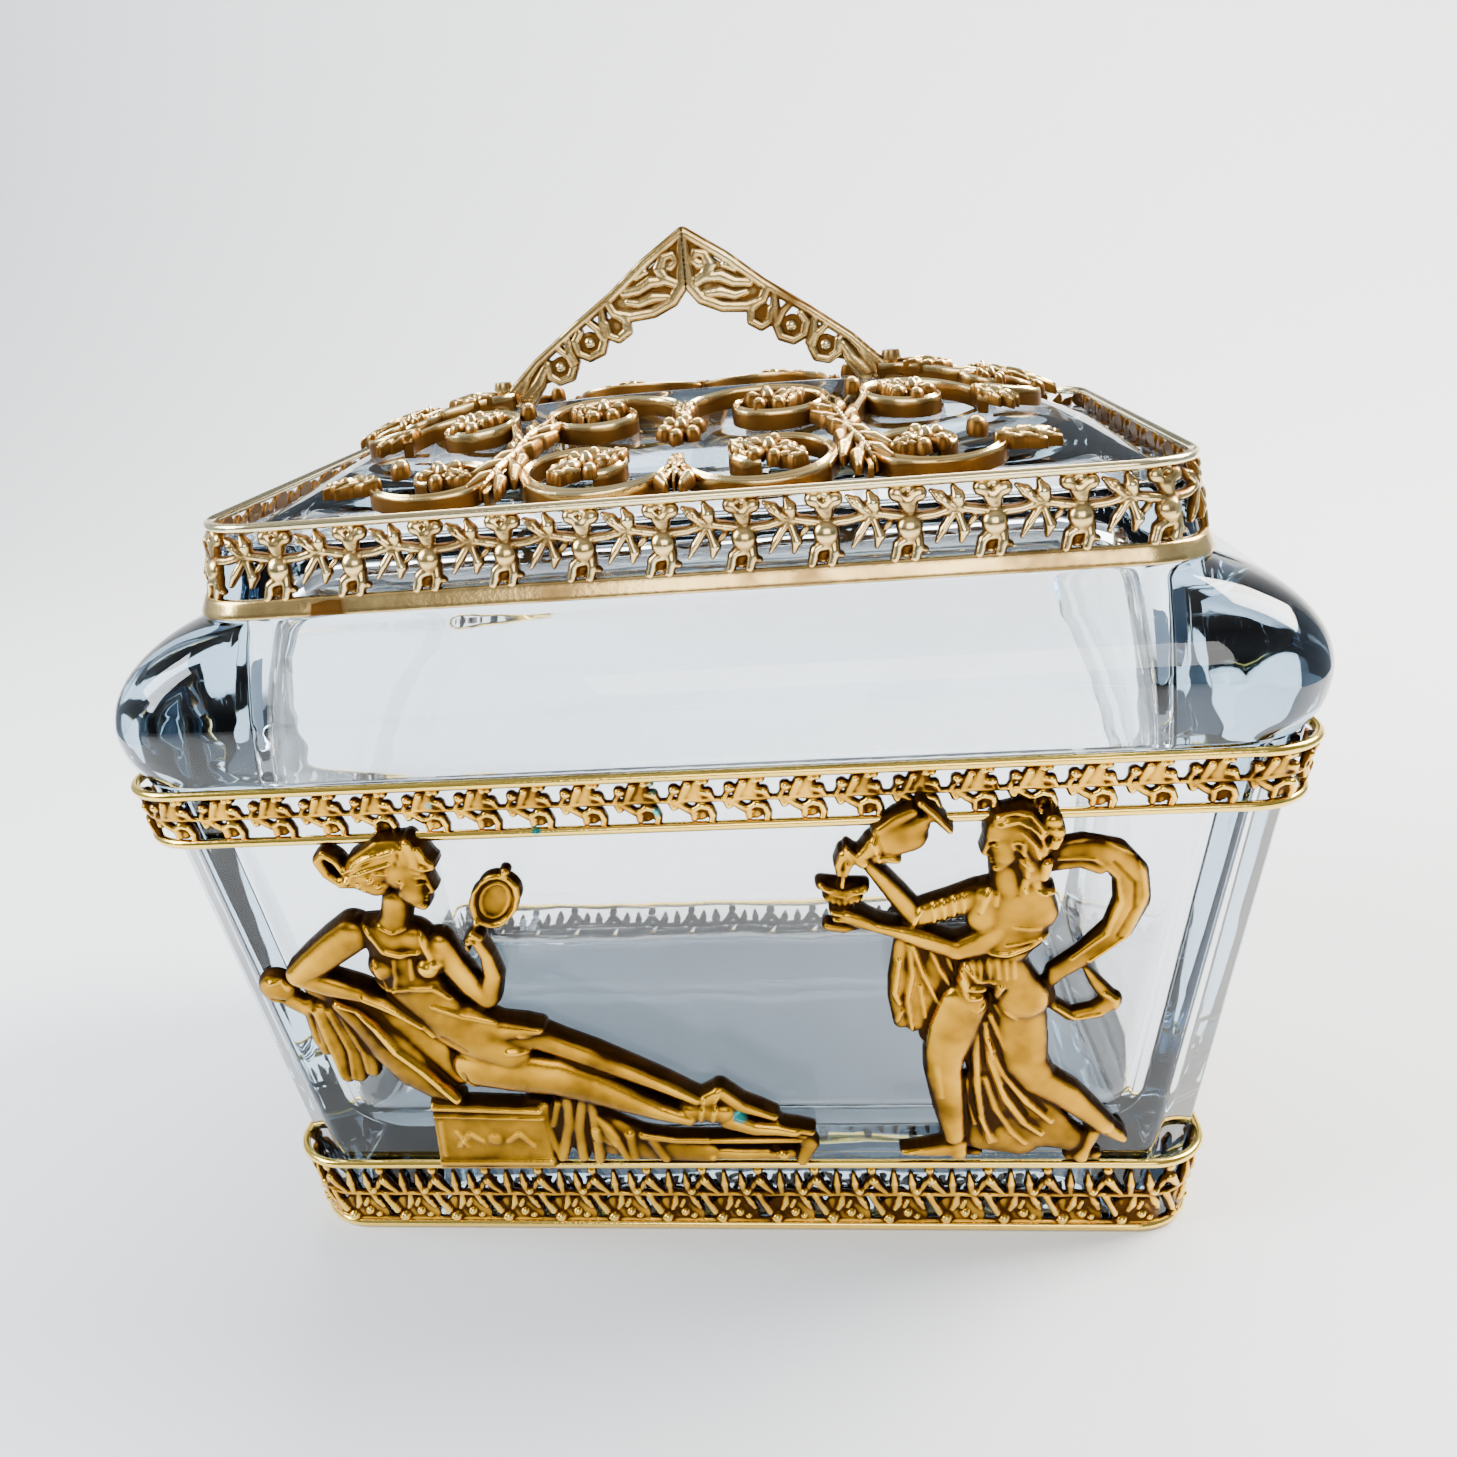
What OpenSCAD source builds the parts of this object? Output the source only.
// Cut-glass casket box with pierced gilt mounts and a lift-off lid.
// Millimetres, +Z up, front at -Y, origin under the middle of the foot.

/* [Casket glass] */
// Width of the casket glass at its mouth
mouth_w = 161.4; // [145:0.2:175]
// Depth of the casket glass at its mouth
mouth_d = 106.4; // [95:0.2:118]
// Height of the casket glass
body_h = 84; // [78:0.5:90]
// Lean of the walls, in millimetres in for each millimetre down
lean = 0.135; // [0.11:0.005:0.16]
// Width of the flat cut down each corner, along each wall
corner_cut = 8; // [6:0.5:10]
// Thickness of the glass walls
wall = 8.5; // [7:0.5:10]
// Thickness of the glass floor
floor_t = 15; // [10:0.5:18]
// Sweep from the cavity's floor into its walls
sweep_r = 9; // [6:0.5:11]

/* [Lid glass] */
// Overhang of the lid's roll past the casket's mouth
lid_over = 2.8; // [2:0.1:3.5]
// Height from the seat up to the gallery
shoulder_h = 22; // [20:0.5:25]
// Inset of the gallery from the roll, at the ends
shoulder_x = 15; // [12:0.5:18]
// Inset of the gallery from the roll, at the front and back
shoulder_y = 9.9; // [8:0.1:11]
// Height of the crown above the edge of the lid's top
crown_h = 12; // [9:0.5:13]
// Drop from the gallery's top to the edge of the lid's top
edge_drop = 3.2; // [2.4:0.1:4]
// Depth of the locating rim that hangs into the mouth
spigot_h = 4; // [3:0.5:6]
// Play all round the locating rim
spigot_play = 0.5; // [0.4:0.1:0.9]

/* [Gilt bands] */
// Thickness of the round wires
wire_d = 1.5; // [1.2:0.1:1.7]
// Height of the band round the foot
base_band_h = 14.5; // [12:0.5:16]
// Length of one spray of the foot band
base_pitch = 8.9; // [8:0.1:10]
// Height of the band round the mouth
rim_band_h = 9.3; // [8:0.1:10]
// Length of one sprig of the mouth band
rim_pitch = 7.4; // [6.6:0.1:8.2]
// Height of the gallery round the lid
gallery_h = 13; // [11:0.5:14]
// Length of one flower repeat of the gallery
gallery_pitch = 10.6; // [9.5:0.1:12]
// Height of the flat strip under the gallery
strip_h = 2.6; // [2:0.1:3.2]
// Thickness of the pierced bands
band_t = 0.9; // [0.7:0.1:1.2]

/* [Scroll mount and handle] */
// Depth of the scroll strips, standing on edge
scroll_h = 2.6; // [2:0.1:3.2]
// Thickness of the scroll strips
scroll_t = 0.8; // [0.6:0.1:1]
// Half length of the scroll mount
scroll_reach = 54; // [50:1:56]
// Height of the handle's peak above the lid's crown
handle_h = 24.5; // [20:0.5:28]
// Half distance between the handle's feet
handle_reach = 31; // [27:0.5:34]
// Thickness of the handle, front to back
handle_t = 2.6; // [2:0.1:3.4]

/* [Figures] */
// Flattening of the figures' relief, as a share of full roundness
relief = 0.6; // [0.5:0.05:0.8]
// Gap that keeps castings off the glass
seat_gap = 0.02; // [0.02:0.01:0.05]

/* [Hidden] */

glass_tint = [0.78, 0.86, 0.92, 0.45];
gilt = [0.83, 0.62, 0.18];
pale_gilt = [0.9, 0.76, 0.46];
wire_r = wire_d / 2;
bury = 0.12;         // how far soldered and cemented seams are let in
stem = 0.12;         // half width of a garland's stem, as a share of the garland's half height
lean_deg = atan(lean);

// Half sizes of the casket glass at a height
function glass_x(z) = mouth_w / 2 - lean * (body_h - z);
function glass_y(z) = mouth_d / 2 - lean * (body_h - z);

// The lid, measured up from its seat on the casket's mouth
lid_x = mouth_w / 2 + lid_over;
lid_y = mouth_d / 2 + lid_over;
lid_corner = 14;
gallery_z = body_h + shoulder_h;
gallery_lean = 0.17;
gallery_lean_deg = -atan(gallery_lean);
tier_x = lid_x - shoulder_x;
tier_y = lid_y - shoulder_y;
tier_corner = 9;
tier_top = gallery_z + gallery_h;
dome_foot = tier_top - edge_drop;
crown_z = dome_foot + crown_h;

// Half sizes of the lid's upper tier at a height, and the height of its dome over a point
function tier_half_x(z) = tier_x - gallery_lean * (z - gallery_z);
function tier_half_y(z) = tier_y - gallery_lean * (z - gallery_z);
dome_x = tier_half_x(dome_foot) - 0.6;
dome_y = tier_half_y(dome_foot) - 0.6;
function fall(u, power) = 1 - pow(min(1, abs(u)), power);
function dome_z(x, y) = dome_foot + crown_h * fall(x / dome_x, 3.5) * fall(y / dome_y, 1.3);

// Points of a rectangle with n points round each corner; two points make a flat cut
function corner_rect(a, b, r, n) = [for (q = [0:3]) for (i = [0:n - 1])
    let(turn = 90 * (q + i / (n - 1)))
    [(q == 0 || q == 3 ? 1 : -1) * (a - r) + r * cos(turn),
     (q < 2 ? 1 : -1) * (b - r) + r * sin(turn)]];

// The same points with more between, evenly along each straight side
function side_points(ring, n, between) = [for (i = [0:4 * n - 1]) each i % n < n - 1 ? [ring[i]]
    : [for (j = [0:between]) ring[i] + (ring[(i + 1) % (4 * n)] - ring[i]) * j / (between + 1)]];

// A solid through a stack of such rectangles, each level [half x, half y, corner, height];
// a level without a height lies on the dome
module loft(levels, n, between = 0) {
    m = 4 * (n + between);
    last = len(levels) - 1;
    points = [for (l = levels) for (p = side_points(corner_rect(l[0], l[1], l[2], n), n, between))
        [p.x, p.y, is_undef(l[3]) ? dome_z(p.x, p.y) : l[3]]];
    middles = [for (l = [levels[0], levels[last]]) [0, 0, is_undef(l[3]) ? crown_z : l[3]]];
    sides = [for (j = [0:last - 1]) for (i = [0:m - 1])
        let(a = j * m + i, b = j * m + (i + 1) % m) each [[a, a + m, b + m], [a, b + m, b]]];
    count = len(points);
    foot = [for (i = [0:m - 1]) [count, i, (i + 1) % m]];
    top = [for (i = [0:m - 1]) [count + 1, last * m + (i + 1) % m, last * m + i]];
    polyhedron(concat(points, middles), concat(sides, foot, top));
}

// A closed hoop: a section of [out, up] points carried round a rectangle with round corners
module hoop(a, b, r, section, n = 6) {
    m = 4 * n;
    k = len(section);
    points = [for (s = section) for (p = corner_rect(a + s.x, b + s.x, r + s.x, n)) [p.x, p.y, s.y]];
    faces = [for (j = [0:k - 1]) for (i = [0:m - 1])
        let(a = j * m + i, b = j * m + (i + 1) % m, c = (j + 1) % k * m + i,
            d = (j + 1) % k * m + (i + 1) % m) each [[a, c, d], [a, d, b]]];
    polyhedron(points, faces);
}

// A round wire hoop; half sizes a and b are those of the glass behind it
module wire_hoop(a, b, r, z) {
    section = [for (i = [0:7]) let(turn = 45 * i + 22.5) [wire_r * cos(turn), z + wire_r * sin(turn)]];
    hoop(a + wire_r, b + wire_r, r + wire_r, section);
}

// Middles of the chords that turn the corners of a hoop, as [x, y, heading]
function corner_chords(a, b, r, count) = [for (q = [0:3]) for (i = [0:count - 1])
    let(turn = 90 * q + 90 * (i + 0.5) / count, reach = r * cos(45 / count))
    [(q == 0 || q == 3 ? 1 : -1) * (a - r) + reach * cos(turn),
     (q < 2 ? 1 : -1) * (b - r) + reach * sin(turn), turn + 90]];

// One run of a garland, from its repeat's upper and lower edges, as [along, up] fractions
function garland_outline(count, pitch, h, upper, lower) = [
    for (i = [0:count - 1]) for (p = upper) [(i + p.x - count / 2) * pitch, p.y * h],
    [count / 2 * pitch, stem * h], [count / 2 * pitch, -stem * h],
    for (i = [count - 1:-1:0]) for (p = lower) [(i + p.x - count / 2) * pitch, p.y * h],
    [-count / 2 * pitch, -stem * h]];

module garland_run(count, pitch, h, tilt, upper, lower) {
    rotate([90 + tilt, 0, 0])
        linear_extrude(height = band_t, center = true)
            polygon(garland_outline(count, pitch, h, upper, lower));
}

// A garland all round: four straight runs, and short runs that turn the corners
module garland_band(a, b, r, z, pitch, h, tilt, upper, lower, corner_runs = 2) {
    long = 2 * (a - r);
    short = 2 * (b - r);
    n_long = round(long / pitch);
    n_short = round(short / pitch);
    chord = 2 * r * sin(45 / corner_runs);
    lap = 0.6;
    for (s = [0, 1]) {
        rotate(180 * s) translate([0, -b, z])
            garland_run(n_long, (long + lap) / n_long, h, tilt, upper, lower);
        rotate(180 * s) translate([a, 0, z]) rotate(90)
            garland_run(n_short, (short + lap) / n_short, h, tilt, upper, lower);
    }
    for (p = corner_chords(a, b, r, corner_runs))
        translate([p.x, p.y, z]) rotate(p[2]) garland_run(1, chord + lap, h, tilt, upper, lower);
}

// Edges of the repeats, read along the stem: upper left to right, lower right to left
sprig_upper = [[0, stem], [0.1, stem], [0.2, 0.55], [0.34, 0.14], [0.55, stem], [0.5, 0.62], [0.66, 1],
    [0.84, 1], [0.94, 0.6], [0.86, stem]];
sprig_lower = [[0.9, -stem], [0.84, -0.7], [0.7, -1], [0.52, -1], [0.46, -0.6], [0.6, -stem]];
spray_upper = [[0, stem], [0.04, 0.66], [0.14, 1], [0.24, 0.62], [0.3, 0.22], [0.4, 0.7],
    [0.5, 0.84], [0.56, 0.6], [0.52, 0.2], [0.66, 0.3], [0.74, 0.92], [0.84, 0.9], [0.86, stem]];
spray_lower = [[0.98, -0.5], [0.86, -0.86], [0.74, -0.4], [0.6, -0.14], [0.7, -1],
    [0.46, -1], [0.3, -0.5], [0.1, -0.16]];
flower_upper = [[0, stem], [0.08, 0.14], [0.06, 0.62], [0.12, 1], [0.36, 1], [0.42, 0.6], [0.3, 0.14],
    [0.5, 0.2], [0.58, 0.66], [0.68, 0.62], [0.64, 0.28], [0.76, 0.72], [0.88, 0.7], [0.82, stem]];
flower_lower = [[0.98, -0.14], [0.82, -stem], [0.84, -0.66], [0.72, -0.7], [0.66, -0.16],
    [0.38, -0.06], [0.46, -0.5], [0.4, -1], [0.12, -1], [0.08, -0.5], [0.2, -stem]];

// Casket glass: thick leaning walls with cut corners round a cavity with a swept floor
module glass_body() {
    color(glass_tint) difference() {
        loft([for (z = [0, body_h]) [glass_x(z), glass_y(z), corner_cut, z]], 2);
        loft(concat(
            [for (i = [0:4]) let(turn = 18 * i, z = floor_t + sweep_r * (1 - cos(turn)),
                inset = wall + sweep_r * (1 - sin(turn)))
                [glass_x(z) - inset, glass_y(z) - inset, corner_cut - 2, z]],
            [for (z = [floor_t + sweep_r, body_h + 1])
                [glass_x(z) - wall, glass_y(z) - wall, corner_cut - 2, z]]), 5);
    }
}

// Foot band: two wires and a thick garland of sprays
base_wire_z = base_band_h - wire_r;
base_mid = base_band_h / 2;
module base_bottom_wire() {
    color(gilt) wire_hoop(glass_x(wire_d), glass_y(wire_d), corner_cut, wire_r * cos(22.5));
}
module base_garland() {
    color(gilt) garland_band(glass_x(base_mid) + wire_r, glass_y(base_mid) + wire_r, corner_cut + wire_r,
        base_mid, base_pitch, base_mid - wire_d + bury, lean_deg, spray_upper, spray_lower);
}
module base_top_wire() {
    color(gilt) wire_hoop(glass_x(base_band_h), glass_y(base_band_h), corner_cut, base_wire_z);
}

// Mouth band: it ends just below the seat of the lid
rim_top = body_h - 0.2;
rim_mid = rim_top - rim_band_h / 2;
module rim_bottom_wire() {
    z = rim_top - rim_band_h + wire_r;
    color(gilt) wire_hoop(glass_x(z + wire_r), glass_y(z + wire_r), corner_cut, z);
}
module rim_garland() {
    color(gilt) garland_band(glass_x(rim_mid) + wire_r, glass_y(rim_mid) + wire_r, corner_cut + wire_r,
        rim_mid, rim_pitch, rim_band_h / 2 - wire_d + bury, lean_deg, sprig_upper, sprig_lower);
}
module rim_top_wire() {
    color(gilt) wire_hoop(glass_x(rim_top), glass_y(rim_top), corner_cut, rim_top - wire_r);
}

// Lid glass, from the seat up: roll, sloping shoulder, upper tier and cushion crown.
// Each shoulder level is [share of the inset, share of the shoulder's height].
shoulder_levels = [[0.16, 0], [0.05, 0.14], [0, 0.32], [0.03, 0.46], [0.1, 0.57], [0.22, 0.68],
    [0.4, 0.79], [0.66, 0.9], [1, 1]];
module lid_glass() {
    color(glass_tint) difference() {
        union() {
            loft(concat(
                [for (l = shoulder_levels) [lid_x - shoulder_x * l.x, lid_y - shoulder_y * l.x,
                    lid_corner - (lid_corner - tier_corner) * l.x, body_h + shoulder_h * l.y]],
                [[tier_half_x(dome_foot), tier_half_y(dome_foot), tier_corner, dome_foot - 0.6]],
                [for (t = [1, 0.86, 0.7, 0.5, 0.28, 0.1]) [dome_x * t, dome_y * t, tier_corner * t]]),
                6, 5);
            loft([for (z = [body_h - spigot_h, body_h + 0.1])
                [glass_x(z) - wall - spigot_play, glass_y(z) - wall - spigot_play, corner_cut - 2, z]], 5);
        }
        lid_hollow();
    }
}
hollow_wall = 6;
hollow_top = dome_foot - 5;
module lid_hollow() {
    a = glass_x(body_h - spigot_h) - wall - spigot_play - hollow_wall;
    b = glass_y(body_h - spigot_h) - wall - spigot_play - hollow_wall;
    foot = body_h - spigot_h - 1;
    rise = hollow_top - body_h;
    loft(concat([[a, b, corner_cut, foot]],
        [for (turn = [0:15:90]) let(in = 1 - cos(turn))
            [a - 12 * in, b - 12 * in, corner_cut, body_h + rise * (0.4 + 0.6 * sin(turn))]]), 5);
}

// Gallery round the lid's upper tier: flat strip, flowering garland and top wire
module gallery_strip() {
    top = gallery_z + strip_h;
    shift = -gallery_lean * strip_h;
    color(pale_gilt) hoop(tier_x + seat_gap, tier_y + seat_gap, tier_corner,
        [[0, gallery_z], [wire_d, gallery_z], [wire_d + shift, top], [shift, top]]);
}
garland_foot = gallery_z + strip_h;
garland_head = tier_top - wire_d;
gallery_mid = (garland_foot + garland_head) / 2;
module gallery_garland() {
    color(pale_gilt) garland_band(tier_half_x(gallery_mid) + wire_r, tier_half_y(gallery_mid) + wire_r,
        tier_corner + wire_r, gallery_mid, gallery_pitch, (garland_head - garland_foot) / 2 + bury,
        gallery_lean_deg, flower_upper, flower_lower, 4);
}
module gallery_wire() {
    z = tier_top - wire_r;
    color(pale_gilt) wire_hoop(tier_half_x(z - wire_r), tier_half_y(z - wire_r), tier_corner, z);
}

// A strip on edge that follows a path over the dome
module ribbon(path) {
    last = len(path) - 1;
    side = [for (i = [0:last]) let(d = path[min(i + 1, last)] - path[max(i - 1, 0)])
        [-d.y, d.x] / norm(d) * scroll_t / 2];
    points = [for (i = [0:last]) for (s = [-1, 1]) for (up = [-bury, scroll_h])
        let(p = path[i] + s * side[i]) [p.x, p.y, dome_z(p.x, p.y) + up]];
    walls = [for (i = [0:last - 1]) let(k = 4 * i) for (q = [[0, 1], [1, 3], [3, 2], [2, 0]])
        each [[k + q.x, k + 4 + q.y, k + 4 + q.x], [k + q.x, k + q.y, k + 4 + q.y]]];
    polyhedron(points, concat(walls, [[0, 2, 3, 1], [4 * last, 4 * last + 1, 4 * last + 3, 4 * last + 2]]));
}

// A volute: it winds in from radius r_out to r_in over the given turn
function volute(c, r_out, r_in, start, turn, squash = 1, steps = 14) = [for (i = [0:steps])
    let(t = i / steps, a = start + turn * t, r = r_out + (r_in - r_out) * t)
    c + [r * cos(a), squash * r * sin(a)]];

// A leaning S bar between two volutes
function bar(p, q, bow, steps = 5) = [for (i = [0:steps]) let(t = i / steps)
    p + (q - p) * t + [0, bow * sin(360 * t)]];

// One quarter of the scroll mount, front left: two rows of volutes, crossed by leafy straps
row_1 = -33.5;
row_2 = -17;
module scroll_quarter() {
    ribbon(volute([-12.6, row_1], 12.8, 3.4, 8, -440, 0.68));
    ribbon(volute([-12.2, row_2], 12.4, 3.2, -8, 430, 0.6));
    ribbon(volute([-33.5, row_1 + 0.5], 10.6, 2.8, 170, 420, 0.66));
    ribbon(volute([-33, row_2 + 1.5], 10.4, 2.8, 190, -410, 0.62));
    ribbon(bar([-26, row_1 - 5.5], [-20, row_2 + 1], 0.8, 8));
    ribbon(bar([-20.5, row_1 - 4.5], [-26.4, row_2 + 1], -0.8, 8));
    leaf([-23.2, row_1 - 3.8], 245);
    leaf([-46.4, row_1 + 2], 150);
}

// A leaf that lies across the strips
module leaf(p, heading, size = 1) {
    translate([p.x, p.y, dome_z(p.x, p.y) + scroll_h * 0.4]) rotate(heading) scale([size, size, 1])
        linear_extrude(height = 1.4, scale = 0.6)
            polygon([[-3.6, 0], [-1.4, 1.5], [1.2, 1.9], [4.4, 0], [1.2, -1.9], [-1.4, -1.5]]);
}

module scrolls_front() {
    color(pale_gilt) {
        scroll_quarter();
        mirror([1, 0, 0]) scroll_quarter();
    }
}
module scrolls_back() {
    color(pale_gilt) rotate(180) {
        scroll_quarter();
        mirror([1, 0, 0]) scroll_quarter();
    }
}

// End scrolls that close the mount over the middle of the lid
module scroll_wing() {
    ribbon(volute([scroll_reach - 8.5, -5.4], 8.2, 2.4, -100, 380, 0.62, 12));
    ribbon(volute([scroll_reach - 8.5, 5.4], 8.2, 2.4, 100, -380, 0.62, 12));
    ribbon(bar([handle_reach - 2, -2.2], [scroll_reach - 9, -2.2], 1));
    ribbon(bar([handle_reach - 2, 2.2], [scroll_reach - 9, 2.2], -1));
    leaf([scroll_reach - 3.6, 0], 0, 1.7);
}
module scroll_wing_left() { color(pale_gilt) mirror([1, 0, 0]) scroll_wing(); }
module scroll_wing_right() { color(pale_gilt) scroll_wing(); }

// Flowers that cover the meeting points of the scrolls
rosette_quarter = [[0, (row_1 + row_2) / 2], [-12.6, row_1], [-12.2, row_2], [-33.5, row_1 + 0.5],
    [-33, row_2 + 1.5], [12.6, row_1], [12.2, row_2], [33.5, row_1 + 0.5], [33, row_2 + 1.5]];
rosette_places = [for (s = [1, -1]) for (p = rosette_quarter) s * p];
module rosette() {
    linear_extrude(height = 1)
        polygon([for (i = [0:15]) let(turn = 22.5 * i, r = 2.6 + 0.8 * cos(4 * turn)) r * [cos(turn), sin(turn)]]);
    cylinder(h = 1.8, r = 1, $fn = 16);
}
module rosettes() {
    color(pale_gilt) for (p = rosette_places)
        translate([p.x, p.y, dome_z(p.x, p.y) + scroll_h - 0.4]) rosette();
}

// One leg of the handle, drawn in its own plane: it comes down the slope from the mitred peak
handle_peak = crown_z + handle_h;
handle_slope = atan2(handle_h - 3.2, handle_reach - 1);
leg_len = norm([handle_reach - 1, handle_h - 3.2]);
module leg_outline() {
    difference() {
        union() {
            polygon([[0, 0], [4, 0.5], [9, 0.2], [14, -0.7], [15.4, -2.8], [13, -5.4], [8.4, -8.1], [4, -8.6],
                [0, -6.8]]);
            translate([16.4, -4.4]) circle(2.6, $fn = 16);
            translate([21.5, -2.8]) circle(3.2, $fn = 16);
            translate([27.2, -3.3]) circle(3.1, $fn = 16);
            translate([leg_len - 3.8, -2.6]) circle(2.6, $fn = 16);
            polygon([[13, -0.2], [leg_len - 2, -0.2], [leg_len + 1, -2.4], [leg_len + 1, -4.4],
                [leg_len - 5, -2.2], [13, -1.8]]);
        }
        polygon([[2.2, -1.6], [5.4, -1.2], [6.6, -2.4], [5, -3.6], [3.2, -5.6], [2, -4]]);
        polygon([[8, -2], [11.8, -2.4], [13.2, -3.4], [11, -4.4], [9.4, -5.8], [8.2, -4]]);
        translate([16.4, -4.4]) circle(1.2, $fn = 16);
        translate([21.5, -2.9]) circle(1.6, $fn = 16);
        translate([27.2, -3.4]) circle(1.5, $fn = 16);
    }
}
module handle_leg() {
    intersection() {
        translate([0, 0, handle_peak]) rotate([90, handle_slope, 0])
            linear_extrude(height = handle_t, center = true) leg_outline();
        translate([seat_gap, -10, crown_z - 3]) cube([60, 20, handle_h + 6]);
    }
    foot_z = dome_z(handle_reach, 0);
    translate([handle_reach, 0, foot_z - bury]) cylinder(h = 4.4, r1 = 2.6, r2 = 1.3, $fn = 24);
}
module handle_left() { color(pale_gilt) mirror([1, 0, 0]) handle_leg(); }
module handle_right() { color(pale_gilt) handle_leg(); }

// The figures stand on the front pane. A place is [across, up the glass from the foot, off the glass].
module on_front() {
    translate([0, -glass_y(0) - seat_gap, 0]) rotate([90 + lean_deg, 0, 0])
        intersection() {
            translate([0, base_band_h - 13.9, 0]) children();
            translate([-90, -10, 0]) cube([180, 120, 20]);
        }
}
module ball(p, r, lift = 0) { translate([p.x, p.y, lift]) scale([1, 1, relief]) sphere(r, $fn = 12); }
module limb(p, r1, q, r2, lift_p = 0, lift_q = 0) {
    hull() {
        ball(p, r1, lift_p);
        ball(q, r2, lift_q);
    }
}
module plate(points, t) { linear_extrude(height = t) polygon(points); }

// Reclining woman with a hand mirror on a draped couch
module reclining_figure() {
    color(gilt) on_front() {
        ball([-43.4, 69], 4.3);                         // head
        limb([-48, 72], 2.4, [-52.4, 71.6], 1.8);       // knot of hair
        limb([-44, 65], 2, [-44.6, 60.5], 2.4);         // neck
        limb([-49.5, 59.5], 2.6, [-39.5, 57], 2.4);     // shoulders
        limb([-45, 55.5], 4.4, [-40, 47], 3.6);         // chest
        limb([-40, 47], 3.6, [-33, 41], 3.8);           // waist
        limb([-50.5, 60], 2.2, [-61, 52.5], 1.9);       // left upper arm
        limb([-61, 52.5], 1.9, [-43, 42], 1.3);         // left forearm
        limb([-38, 57], 2.1, [-33.2, 46.4], 1.7);       // right upper arm
        limb([-33.2, 46.4], 1.7, [-33.8, 57], 1.2);     // right forearm
        limb([-33, 41], 3.9, [-16.5, 36], 3);           // thigh
        limb([-16.5, 36], 3, [-2.5, 27.4], 1.8);        // shin
        limb([-30, 37.5], 3.2, [-18.5, 33.4], 2.4);     // lower thigh
        limb([-18.5, 33.4], 2.4, [-5.5, 24.6], 1.4);    // lower shin
        limb([-2.5, 27.4], 1.8, [8.5, 22.6], 1.2);      // foot
        limb([-62, 47], 2.2, [-58, 43], 2.4);           // bolster
        limb([-33.8, 57], 0.9, [-30.2, 61.6], 0.9);     // mirror's grip
        translate([-29.4, 63.8, 0]) rotate(-18) scale([2.6, 3.5, 1]) cylinder(h = 1.2, r = 1, $fn = 20);
        plate([[-61, 47], [-55, 46], [-42, 28], [-45, 26], [-55.5, 31], [-59, 38]], 1.4);  // couch end
        plate([[-45.5, 27.6], [-27.5, 28.6], [-26.8, 14.4], [-44.6, 14.4]], 2.6);  // couch block
        plate([[-30, 35], [-4, 25], [-6, 17], [-18, 14.6], [-28, 17.5]], 1.2);     // drapery
        plate([[-6.5, 21], [12.6, 21.4], [13.8, 19.4], [12.6, 14.4], [-6.5, 14.4]], 1.8);   // footstool
    }
}

// Standing attendant who pours from a ewer into a bowl, scarf flying behind
module attendant_figure() {
    color(gilt) on_front() {
        ball([42.6, 71.4], 3.9);                        // head
        ball([47.2, 73], 2);                            // knot of hair
        limb([42.4, 67], 1.7, [43, 64.4], 2);           // neck
        limb([39.4, 62.5], 2.4, [47.4, 61], 2.6);       // shoulders
        limb([43.2, 58.5], 4.4, [42, 52], 3.6);         // chest
        limb([42, 52], 3.6, [43, 44.5], 4.4);           // hips
        limb([39, 62.5], 2.4, [30, 61], 1.9);           // raised upper arm
        limb([30, 61], 1.8, [22, 68.4], 1, 0, 0.5);     // raised forearm
        limb([38.5, 57], 2, [31, 56.6], 1.4);           // lower upper arm
        limb([31, 56.6], 1.4, [18.6, 60.6], 1);         // lower forearm
        limb([43, 44], 4.2, [32.4, 33.6], 3);           // front thigh
        limb([32.4, 33.6], 2.7, [33.6, 18], 1.5);       // front shin
        limb([33.6, 16.6], 1.6, [26.6, 15.6], 1.1);     // front foot
        limb([45, 44], 4, [46.6, 32], 3.2);             // back thigh
        limb([46.6, 32], 2.8, [54.6, 23], 1.9);         // calf
        limb([54.6, 23], 1.7, [59, 18.6], 1.1);         // rear foot
        plate([[40, 44], [48.4, 36], [56, 22], [53, 15], [36, 15.4], [33.4, 34]], 1.6);    // skirt
        plate([[34, 60], [27, 56], [25.4, 45], [29, 38], [31, 36.4], [33.6, 46], [37, 54]], 1.2); // drape
        limb([46.5, 70.4], 1.4, [54, 72], 1.3);         // scarf, from the nape
        limb([54, 72], 1.3, [60, 67.4], 1.4);
        limb([60, 67.4], 1.4, [60.2, 60.4], 1.4);
        limb([60.2, 60.4], 1.4, [57, 54], 1.4);
        limb([57, 54], 1.4, [48, 46.6], 1.3);
        limb([48, 46.6], 1.2, [52, 43.6], 1);
        limb([52, 43.6], 1, [57, 43.4], 1);
        translate([19.9, 65, 0]) scale([1, 0.7, relief]) sphere(3.4, $fn = 12);       // bowl
        limb([18.9, 60.8], 1.1, [19.6, 64], 1);         // bowl's foot
        limb([21.6, 69], 1.3, [25, 70.6], 1.7, 0.5, 0.7);           // hand
        limb([24, 69.4], 1.2, [28.2, 71.4], 2.2, 0.7, 1.7);         // ewer's foot and body, which
        limb([28.2, 71.4], 2.2, [31.6, 76.6], 1.7, 1.7, 2.8);       // tilt clear of the mouth band
        plate([[50, 15.4], [57.4, 15.4], [57.4, 14.4], [26, 14.4], [26, 15.4]], 1);        // ground line
    }
}

glass_body();
base_bottom_wire();
base_garland();
base_top_wire();
rim_bottom_wire();
rim_garland();
rim_top_wire();
reclining_figure();
attendant_figure();
lid_glass();
gallery_strip();
gallery_garland();
gallery_wire();
scrolls_front();
scrolls_back();
scroll_wing_left();
scroll_wing_right();
rosettes();
handle_left();
handle_right();
